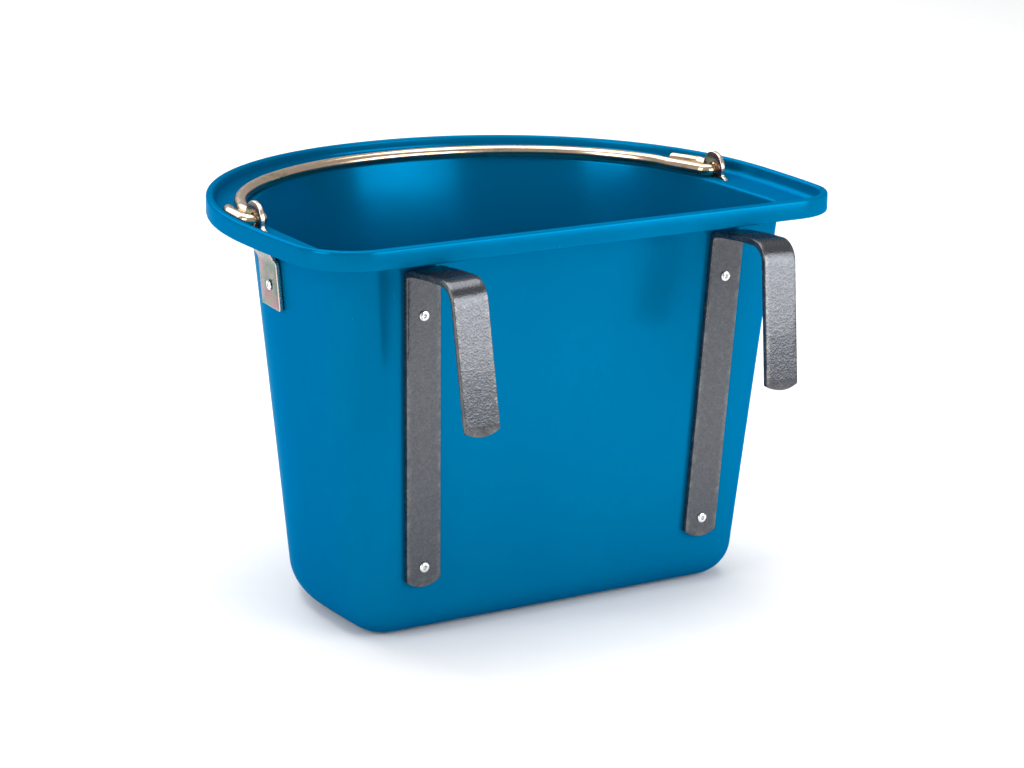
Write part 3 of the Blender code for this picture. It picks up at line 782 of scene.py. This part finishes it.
def build_bracket(name, side, material):
    """The flat plate divided into levels, then bent on to the wall and out to the ear."""
    mesh = flat_plate()
    for i in range(JOGGLE_LEVELS + 1):
        z = JOGGLE_START_Z + (JOGGLE_END_Z - JOGGLE_START_Z) * i / JOGGLE_LEVELS
        geometry = list(mesh.verts) + list(mesh.edges) + list(mesh.faces)
        bmesh.ops.bisect_plane(mesh, geom=geometry, dist=1e-6, plane_co=(0, 0, z), plane_no=(0, 0, 1))
    surface = bracket_x_surface()
    face_x = 0.5 * PLATE_THICKNESS - 1e-5
    edge_wear_and_glint = []
    for vert in mesh.verts:
        # Points off the two flat faces get the painted cream highlight along the plate's edges.
        edge_wear_and_glint.append(1.0 if abs(vert.co.x) < face_x else 0.0)
        vert.co.x = side * (surface(vert.co.y, vert.co.z) + vert.co.x)
    piece = make_piece(name, mesh, material, BAR_SHARP)
    store_edge_wear_and_glint(piece, edge_wear_and_glint)
    return piece


def bail_end(tip, flare_x, crook_x, shank):
    """Corners from the wire's tip, round the bracket's ear and up the shank."""
    outer_x = math.copysign(EYE_OUTER_X, flare_x)
    spots = [tip, (flare_x, EYE_FLARE[1]), (outer_x, PIVOT_Y), (crook_x, PIVOT_Y), shank]
    return [Vector((x, y, PIVOT_Z)) for x, y in spots]


def bail_path():
    """The wire's centreline from the left tip round the bow to the right tip."""
    middle = 0.5 * (BOW_LEFT_X + BOW_RIGHT_X)
    half = 0.5 * (BOW_RIGHT_X - BOW_LEFT_X)
    first = math.asin((BOW_FIRST_Y - BOW_MIDDLE_Y) / BOW_REACH)
    bow = []
    for i in range(BOW_STEPS + 1):
        turn = first + (math.pi - 2 * first) * i / BOW_STEPS
        y = BOW_MIDDLE_Y + BOW_REACH * math.sin(turn)
        bow.append(Vector((middle - half * math.cos(turn), y, PIVOT_Z)))
    left = bail_end(EYE_TIP_LEFT, -EYE_FLARE[0], CROOK_LEFT_X, SHANK_LEFT)
    right = bail_end(EYE_TIP_RIGHT, EYE_FLARE[0], CROOK_RIGHT_X, SHANK_RIGHT)
    bends = (EYE_FLARE_BEND, EYE_BEND, EYE_BEND, SHANK_BEND)
    start = rounded_path(left + [bow[0]], bends, WIRE_BEND_STEP)[:-1]
    end = rounded_path(right + [bow[-1]], bends, WIRE_BEND_STEP)[:-1]
    return tidy_outline(start + bow + end[::-1], 1e-4)


def wire_rings(path):
    """Rings along the wire, with its cut ends rounded over."""
    up = Vector((0.0, 0.0, 1.0))
    rings = []

    def add(point, along, radius):
        across = along.cross(up)
        turns = [2 * math.pi * i / WIRE_SIDES for i in range(WIRE_SIDES)]
        rings.append([point + (across * math.cos(turn) + up * math.sin(turn)) * radius for turn in turns])

    edge = []
    for sine, cosine in quarter(WIRE_CUT_STEPS):
        edge.append((WIRE_CUT_EDGE * (1 - cosine), WIRE_CUT_EDGE * (1 - sine)))
    for i, (point, along) in enumerate(zip(path, tangents(path))):
        if i == 0:
            for back, inset in edge:
                add(point + along * back, along, WIRE_RADIUS - inset)
        elif i == len(path) - 1:
            for back, inset in reversed(edge):
                add(point - along * back, along, WIRE_RADIUS - inset)
        else:
            add(point, along, WIRE_RADIUS)
    return rings


def unroll_wire(mesh, rings):
    """Gives the wire a map of metres along it and turns round it."""
    layer = mesh.loops.layers.uv.new("wire")
    lengths = [0.0]
    for before, after in zip(rings, rings[1:]):
        lengths.append(lengths[-1] + (sum(after, Vector()) - sum(before, Vector())).length / WIRE_SIDES)
    mesh.verts.index_update()
    for face in mesh.faces:
        for loop in face.loops:
            row, column = divmod(loop.vert.index, WIRE_SIDES)
            if column == 0 and any(other.vert.index % WIRE_SIDES == WIRE_SIDES - 1 for other in face.loops):
                column = WIRE_SIDES
            loop[layer].uv = (lengths[row], column / WIRE_SIDES)


def build_bail(material):
    """The bent wire, from its left tip to its right tip."""
    rings = wire_rings(bail_path())
    mesh = loft(rings)
    unroll_wire(mesh, rings)
    return make_piece("bail_wire", mesh, material, WIRE_SHARP)


def rivet_frames():
    """For each rivet, a frame on the wall's outer surface whose +Z points out of the wall."""
    frames = {}
    quarter_turn = math.radians(90)
    for side, word in ((-1, "left"), (1, "right")):
        for z, place in zip(HOOK_RIVETS_Z, ("lower", "upper")):
            out = Matrix.Rotation(quarter_turn + back_wall_tilt(), 4, "X")
            spot = Matrix.Translation((side * HOOK_X, back_wall_y(z), z))
            frames[f"hook_{word}_{place}"] = hook_frame(side) @ spot @ out
        turn = Matrix.Rotation(side * side_wall_turn(), 4, "Z")
        out = Matrix.Rotation(side * (quarter_turn + side_wall_tilt()), 4, "Y")
        x = side * wall_side_x(BRACKET_RIVET_Y, BRACKET_RIVET_Z)
        spot = Matrix.Translation((x, BRACKET_RIVET_Y, BRACKET_RIVET_Z))
        frames[f"bracket_{word}"] = spot @ turn @ out
    return frames


def rivet_profile(outer_face):
    """The blind rivet: domed head, shank and the bulge behind the washer, round an open bore."""
    seat = outer_face + GAP
    washer_face = -(WALL_THICKNESS + GAP + WASHER_THICKNESS + GAP)
    flat = 1.3 * RIVET_BORE_RADIUS
    rise = 0.82 * RIVET_HEAD_HEIGHT
    head = [
        (RIVET_BORE_RADIUS, seat + 0.80 * RIVET_HEAD_HEIGHT),
        (1.12 * RIVET_BORE_RADIUS, seat + 0.97 * RIVET_HEAD_HEIGHT),
        (flat, seat + RIVET_HEAD_HEIGHT),
    ]
    for sine, cosine in quarter(RIVET_HEAD_STEPS)[1:]:
        radius = flat + (RIVET_HEAD_RADIUS - flat) * sine
        head.append((radius, seat + RIVET_HEAD_HEIGHT - rise * (1 - cosine)))
    head += [(RIVET_HEAD_RADIUS, seat), (RIVET_SHANK_RADIUS, seat)]
    bulge = [(RIVET_SHANK_RADIUS, washer_face)]
    for i in range(BULGE_STEPS + 1):
        share = i / BULGE_STEPS
        swell = math.sin(math.pi * (0.25 + 0.65 * share))
        radius = RIVET_SHANK_RADIUS + (BULGE_RADIUS - RIVET_SHANK_RADIUS) * swell
        bulge.append((radius, washer_face - BULGE_LENGTH * (0.1 + 0.9 * share)))
    bulge.append((RIVET_BORE_RADIUS, washer_face - BULGE_LENGTH))
    return head + bulge


def pin_profile(outer_face):
    """The rivet's broken-off pin, with the head that pulled the bulge."""
    front = outer_face + GAP + RIVET_HEAD_HEIGHT - PIN_RECESS
    back = -(WALL_THICKNESS + 2 * GAP + WASHER_THICKNESS + BULGE_LENGTH + GAP)
    head = [(0.25 * PIN_HEAD_RADIUS, back - PIN_HEAD_LENGTH)]
    for sine, cosine in quarter(PIN_HEAD_STEPS)[1:]:
        head.append((PIN_HEAD_RADIUS * (0.3 + 0.7 * sine), back - PIN_HEAD_LENGTH * (0.55 + 0.45 * cosine)))
    stub = [(PIN_HEAD_RADIUS, back), (PIN_RADIUS, back), (PIN_RADIUS, front - 0.3 * PIN_RADIUS)]
    broken = [
        (0.8 * PIN_RADIUS, front),
        (0.45 * PIN_RADIUS, front - 0.05 * PIN_RADIUS),
        (0.15 * PIN_RADIUS, front - 0.25 * PIN_RADIUS),
    ]
    return head + stub + broken


def washer_profile():
    """The backing washer's section, its outer edges bevelled."""
    low = -(WALL_THICKNESS + GAP + WASHER_THICKNESS)
    high = -(WALL_THICKNESS + GAP)
    edge = 0.25 * WASHER_THICKNESS
    return [
        (RIVET_HOLE_RADIUS, high),
        (WASHER_RADIUS - edge, high),
        (WASHER_RADIUS, high - edge),
        (WASHER_RADIUS, low + edge),
        (WASHER_RADIUS - edge, low),
        (RIVET_HOLE_RADIUS, low),
    ]


def build_rivet(key, frame_matrix, outer_face, materials):
    """One rivet with its pin and washer, each a piece of its own."""
    rivet = lathe(rivet_profile(outer_face), ROUND_SIDES, closed=True)
    pin = lathe(pin_profile(outer_face), PIN_SIDES)
    for vert in pin.verts:
        if vert.co.z > outer_face:
            vert.co.z += PIN_TEAR * (noise.noise(vert.co * PIN_TEAR_GRAIN) - PIN_TEAR_MIDDLE)
    washer = lathe(washer_profile(), ROUND_SIDES, closed=True)
    made = {}
    for word, mesh in (("rivet", rivet), ("pin", pin), ("washer", washer)):
        mesh.transform(frame_matrix)
        made[word] = make_piece(f"{word}_fine_{key}", mesh, materials[word], RIVET_SHARP)
    return made


class Graph:
    """Short calls for building one procedural material."""

    def __init__(self, name, **settings):
        self.material = bpy.data.materials.new(name)
        self.material.use_nodes = True
        self.tree = self.material.node_tree
        self.shader = self.tree.nodes["Principled BSDF"]
        for socket, value in settings.items():
            self.shader.inputs[socket.replace("_", " ")].default_value = value

    def add(self, kind, inputs=None, **settings):
        made = self.tree.nodes.new(kind)
        for key, value in settings.items():
            setattr(made, key, value)
        for key, value in (inputs or {}).items():
            if isinstance(value, bpy.types.NodeSocket):
                self.tree.links.new(value, made.inputs[key])
            else:
                made.inputs[key].default_value = value
        return made

    def place(self, scale=(1.0, 1.0, 1.0), turn=(0.0, 0.0, 0.0), source="Object"):
        """Positions in the piece's own metres, scaled per axis."""
        where = self.add("ShaderNodeTexCoord").outputs[source]
        inputs = {"Vector": where, "Scale": scale, "Rotation": turn}
        return self.add("ShaderNodeMapping", inputs).outputs["Vector"]

    def noise(self, scale, detail=3.0, roughness=0.5, place=None, distortion=0.0):
        inputs = {"Scale": scale, "Detail": detail, "Roughness": roughness, "Distortion": distortion}
        inputs["Vector"] = self.place() if place is None else place
        return self.add("ShaderNodeTexNoise", inputs).outputs["Fac"]

    def cells(self, scale, smoothness):
        inputs = {"Scale": scale, "Vector": self.place(), "Smoothness": smoothness}
        return self.add("ShaderNodeTexVoronoi", inputs, feature="SMOOTH_F1").outputs["Distance"]

    def ramp(self, value, stops):
        made = self.add("ShaderNodeValToRGB", {"Fac": value})
        made.color_ramp.interpolation = "EASE"
        elements = made.color_ramp.elements
        while len(elements) < len(stops):
            elements.new(0.5)
        for element, (position, colour) in zip(elements, stops):
            element.position = position
            element.color = colour4(*colour)
        return made.outputs["Color"]

    def mix(self, share, a, b):
        return self.add("ShaderNodeMix", {0: share, 6: a, 7: b}, data_type="RGBA").outputs[2]

    def maths(self, operation, a, b):
        return self.add("ShaderNodeMath", {0: a, 1: b}, operation=operation).outputs[0]

    def spread(self, value, low, high, new_low, new_high):
        inputs = {"Value": value, "From Min": low, "From Max": high, "To Min": new_low, "To Max": new_high}
        return self.add("ShaderNodeMapRange", inputs).outputs["Result"]

    def bump(self, height, distance, strength=1.0, under=None):
        inputs = {"Height": height, "Distance": distance, "Strength": strength}
        if under is not None:
            inputs["Normal"] = under
        return self.add("ShaderNodeBump", inputs).outputs["Normal"]

    def finish(self, colour=None, roughness=None, normal=None, metallic=None):
        found = (("Base Color", colour), ("Roughness", roughness), ("Normal", normal), ("Metallic", metallic))
        for socket, value in found:
            if value is not None:
                self.tree.links.new(value, self.shader.inputs[socket])
        return self.material


def colour4(red, green, blue):
    """An opaque linear colour."""
    return (red, green, blue, 1.0)


def plastic_material():
    """Glossy moulded polypropylene: even blue with faint flow shading, scuffs and fine drag marks."""
    sheen = colour4(0.05, 0.60, 1.0)
    g = Graph("blue_plastic_fine", Metallic=0.34, Specular_IOR_Level=0.0, Specular_Tint=sheen)
    flow = g.noise(9.0, 2.0, 0.5, g.place((1.0, 1.0, 0.35)))
    cloud = g.noise(60.0, 4.0, 0.6)
    deep = g.mix(g.spread(flow, 0.3, 0.7, 0.0, 1.0), colour4(0.0, 0.122, 0.268), colour4(0.0, 0.131, 0.284))
    base = g.mix(g.spread(cloud, 0.35, 0.75, 0.0, 0.35), deep, colour4(0.0, 0.138, 0.296))
    drag = g.noise(900.0, 2.0, 0.7, g.place((1.0, 1.0, 0.04)))
    scratches = g.spread(drag, 0.70, 0.80, 0.0, 1.0)
    patches = g.spread(g.noise(26.0, 2.0), 0.50, 0.66, 0.0, 1.0)
    worn = g.maths("MULTIPLY", scratches, patches)
    colour = g.mix(g.maths("MULTIPLY", worn, 0.20), base, colour4(0.03, 0.24, 0.46))
    rough = g.maths("ADD", g.spread(cloud, 0.3, 0.8, 0.20, 0.26), g.maths("MULTIPLY", worn, 0.14))
    skin = g.bump(g.noise(420.0, 3.0, 0.55), 0.00003, 0.35)
    waves = g.bump(g.noise(22.0, 2.0, 0.4), 0.0005, 0.25, skin)
    return g.finish(colour, rough, waves)


def paint_material():
    """Hammer-finish enamel: pebbled dark grey, glossy, rubbed to a paler line on the edges."""
    sheen = colour4(0.14, 0.14, 0.13)
    g = Graph("hammered_grey_fine", Coat_Weight=0.35, Coat_Roughness=0.07, IOR=1.5, Specular_Tint=sheen)
    wander = g.noise(260.0, 2.0)
    pebbles = g.cells(860.0, 0.8)
    fine = g.noise(1500.0, 3.0, 0.6)
    lumps = g.maths("ADD", g.maths("MULTIPLY", pebbles, 0.8), g.maths("MULTIPLY", wander, 0.7))
    hollow = g.spread(lumps, 0.45, 1.0, 0.0, 1.0)
    body = g.mix(hollow, colour4(0.066, 0.072, 0.080), colour4(0.092, 0.096, 0.108))
    specks = g.spread(g.noise(1100.0, 2.0, 0.7), 0.68, 0.78, 0.0, 0.3)
    body = g.mix(specks, body, colour4(0.17, 0.17, 0.185))
    worn = g.add("ShaderNodeAttribute", attribute_name="edge_wear_and_glint").outputs["Fac"]
    rubbed = g.maths("MULTIPLY", worn, g.spread(g.noise(160.0, 4.0, 0.7), 0.42, 0.70, 0.0, 0.35))
    body = g.mix(rubbed, body, colour4(0.36, 0.33, 0.30))
    nicks = g.noise(700.0, 2.0, 0.8, g.place((1.0, 1.0, 0.18), (0.0, 0.5, 0.0)))
    sites = g.spread(g.noise(38.0, 2.0), 0.62, 0.70, 0.0, 1.0)
    scratched = g.maths("MULTIPLY", g.spread(nicks, 0.68, 0.73, 0.0, 0.8), sites)
    body = g.mix(scratched, body, colour4(0.50, 0.49, 0.48))
    rough = g.spread(fine, 0.3, 0.8, 0.22, 0.32)
    metal = g.spread(hollow, 0.0, 1.0, 0.78, 0.90)
    pebbled = g.bump(lumps, 0.00015, 0.75)
    grain = g.bump(fine, 0.00003, 0.5, pebbled)
    return g.finish(body, rough, grain, metal)


def wire_material():
    """Drawn wire with yellow-passivated zinc: cream, rose and straw drifting along its length."""
    g = Graph("passivated_wire_fine", Metallic=1.0)
    along = g.place((60.0, 3.0, 1.0), source="UV")
    drift = g.noise(1.0, 3.0, 0.6, along, 0.4)
    tint = g.ramp(
        drift,
        (
            (0.30, (0.52, 0.40, 0.26)),
            (0.45, (0.72, 0.56, 0.37)),
            (0.55, (0.76, 0.53, 0.39)),
            (0.66, (0.64, 0.57, 0.40)),
            (0.80, (0.50, 0.42, 0.34)),
        ),
    )
    draw_lines = g.noise(1.0, 2.0, 0.6, g.place((40.0, 120.0, 1.0), source="UV"))
    dull = g.spread(g.noise(240.0, 4.0, 0.65), 0.55, 0.80, 0.0, 0.5)
    colour = g.mix(dull, tint, colour4(0.40, 0.34, 0.27))
    rough = g.spread(draw_lines, 0.3, 0.75, 0.13, 0.26)
    lines = g.bump(draw_lines, 0.00003, 0.35)
    return g.finish(colour, rough, lines)


def plate_material():
    """Pressed plate with yellow-passivated zinc: grey-green and rose blotches, and a painted cream highlight
    along the edges, where light catches them.
    """
    g = Graph("passivated_plate_fine", Metallic=1.0)
    drift = g.noise(105.0, 1.5, 0.5, None, 0.5)
    tint = g.ramp(
        drift,
        (
            (0.36, (0.105, 0.150, 0.115)),
            (0.48, (0.135, 0.185, 0.145)),
            (0.54, (0.230, 0.150, 0.150)),
            (0.60, (0.290, 0.110, 0.165)),
            (0.74, (0.210, 0.180, 0.105)),
        ),
    )
    # Painted highlight: the plate's edges are coloured bright cream as if catching the light.
    worn = g.add("ShaderNodeAttribute", attribute_name="edge_wear_and_glint").outputs["Fac"]
    colour = g.mix(g.maths("MULTIPLY", worn, 0.85), tint, colour4(0.80, 0.66, 0.54))
    grain = g.noise(900.0, 3.0, 0.6)
    rough = g.spread(grain, 0.3, 0.8, 0.20, 0.36)
    return g.finish(colour, rough, g.bump(grain, 0.00003, 0.4))


def bare_metal(name, light, dark, rough_low, rough_high, scale, height):
    """Plain metal with fine tooling marks and a little tarnish."""
    g = Graph(name, Metallic=1.0)
    tarnish = g.noise(scale, 4.0, 0.6)
    colour = g.mix(g.spread(tarnish, 0.4, 0.75, 0.0, 1.0), colour4(*light), colour4(*dark))
    grain = g.noise(2600.0, 2.0, 0.6)
    rough = g.spread(grain, 0.3, 0.8, rough_low, rough_high)
    return g.finish(colour, rough, g.bump(grain, height, 0.5))


def floor_material():
    """Matt white paper, very slightly cloudy."""
    g = Graph("studio_paper", Specular_IOR_Level=0.1)
    fibre = g.noise(30.0, 5.0, 0.6)
    colour = g.mix(g.spread(fibre, 0.3, 0.7, 0.0, 1.0), colour4(0.86, 0.86, 0.86), colour4(0.88, 0.88, 0.88))
    return g.finish(colour, g.spread(fibre, 0.0, 1.0, 0.85, 0.95))


def build_floor():
    """A pale sheet of paper, far wider than the view."""
    mesh = bmesh.new()
    verts = []
    for i in range(FLOOR_SIDES):
        turn = 2 * math.pi * i / FLOOR_SIDES
        verts.append(mesh.verts.new((FLOOR_REACH * math.cos(turn), FLOOR_REACH * math.sin(turn), FLOOR_Z)))
    mesh.faces.new(verts)
    data = bpy.data.meshes.new("studio_floor")
    mesh.to_mesh(data)
    mesh.free()
    data.materials.append(floor_material())
    floor = bpy.data.objects.new("studio_floor", data)
    bpy.context.scene.collection.objects.link(floor)


def hang(obj, place, target, front):
    """Puts a light or a board where it faces its target, out of the camera's sight."""
    obj.location = place
    aim = Vector(target) - Vector(place)
    obj.rotation_euler = aim.to_track_quat(front, "Y").to_euler()
    obj.visible_camera = False
    bpy.context.scene.collection.objects.link(obj)


def softbox(name, place, target, width, height, power):
    """A rectangular light."""
    data = bpy.data.lights.new(name, "AREA")
    data.shape = "RECTANGLE"
    data.size = width
    data.size_y = height
    data.energy = power
    hang(bpy.data.objects.new(name, data), place, target, "-Z")


def black_card(name, place, target, width, height):
    """A matt black board, which the drop legs' lower ends reflect."""
    mesh = bmesh.new()
    corners = ((-0.5, -0.5), (0.5, -0.5), (0.5, 0.5), (-0.5, 0.5))
    mesh.faces.new([mesh.verts.new((x * width, y * height, 0.0)) for x, y in corners])
    data = bpy.data.meshes.new(name)
    mesh.to_mesh(data)
    mesh.free()
    g = Graph("black_felt", Specular_IOR_Level=0.0, Roughness=1.0)
    nap = g.noise(60.0, 3.0, 0.6)
    data.materials.append(g.finish(g.mix(nap, colour4(0.010, 0.010, 0.010), colour4(0.022, 0.022, 0.022))))
    card = bpy.data.objects.new(name, data)
    hang(card, place, target, "Z")


def build_studio():
    """Even light from all round, the softboxes and the black card."""
    world = bpy.data.worlds.new("studio")
    bpy.context.scene.world = world
    world.use_nodes = True
    background = world.node_tree.nodes["Background"]
    background.inputs["Color"].default_value = (0.97, 0.98, 1.0, 1.0)
    background.inputs["Strength"].default_value = WORLD_STRENGTH
    for name, place, target, width, height, power in SOFTBOXES:
        softbox(name, place, target, width, height, power)
    for name, place, target, width, height in BLACK_CARDS:
        black_card(name, place, target, width, height)
    bpy.context.scene.view_settings.view_transform = "Standard"
    bpy.context.scene.view_settings.look = "None"


def build_camera():
    """Looks at the back wall from the left and a little above."""
    back = Vector((
        math.sin(CAMERA_AZIMUTH) * math.cos(CAMERA_ELEVATION),
        -math.cos(CAMERA_AZIMUTH) * math.cos(CAMERA_ELEVATION),
        math.sin(CAMERA_ELEVATION),
    ))
    level = Vector((0.0, 0.0, 1.0)).cross(back).normalized()
    upright = back.cross(level)
    right = math.cos(CAMERA_ROLL) * level + math.sin(CAMERA_ROLL) * upright
    up = -math.sin(CAMERA_ROLL) * level + math.cos(CAMERA_ROLL) * upright
    data = bpy.data.cameras.new("camera")
    data.lens = CAMERA_LENS
    data.sensor_width = CAMERA_SENSOR
    data.shift_x, data.shift_y = CAMERA_SHIFT
    data.clip_start = CAMERA_CLIP_START
    camera = bpy.data.objects.new("camera", data)
    turn = Matrix((right, up, back)).transposed().to_4x4()
    camera.matrix_world = Matrix.Translation(CAMERA_PLACE) @ turn
    bpy.context.scene.collection.objects.link(camera)
    bpy.context.scene.camera = camera


def stand_for(piece, node, body="bucket"):
    """The fine piece rides on the body and hides the plain node."""
    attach(piece, body)
    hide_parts(node)


def build_object():
    """Every visible piece of the bucket, each on its body."""
    paint = paint_material()
    plate = plate_material()
    fittings = {
        "rivet": bare_metal(
            "aluminium_rivet_fine", (0.90, 0.91, 0.91), (0.66, 0.67, 0.66), 0.18, 0.36, 500.0, 0.00002
        ),
        "pin": bare_metal(
            "steel_pin_fine", (0.62, 0.62, 0.62), (0.30, 0.29, 0.28), 0.25, 0.50, 900.0, 0.00004
        ),
        "washer": bare_metal(
            "zinc_washer_fine", (0.72, 0.73, 0.74), (0.55, 0.56, 0.57), 0.25, 0.45, 300.0, 0.00002
        ),
    }
    frames = rivet_frames()
    stand_for(build_shell(plastic_material(), frames), "bucket_shell")
    for side, word in ((-1, "left"), (1, "right")):
        keys = (f"hook_{word}_lower", f"hook_{word}_upper")
        holes = [hole_body(frames[key], -GAP, GAP + 2.0 * BAR_THICKNESS) for key in keys]
        hook = build_hook(f"hook_bar_{word}", side, paint, holes)
        stand_for(hook, f"hook_{word}")
        bracket = build_bracket(f"bail_plate_{word}", side, plate)
        stand_for(bracket, f"bail_bracket_{word}")
    for key, frame_matrix in frames.items():
        outer_face = GAP + (PLATE_THICKNESS if key.startswith("bracket") else BAR_THICKNESS)
        for kind, piece in build_rivet(key, frame_matrix, outer_face, fittings).items():
            stand_for(piece, f"{kind}_{key}")
    stand_for(build_bail(wire_material()), "bail_handle", "bail")


build_camera()
build_object()
build_floor()
build_studio()
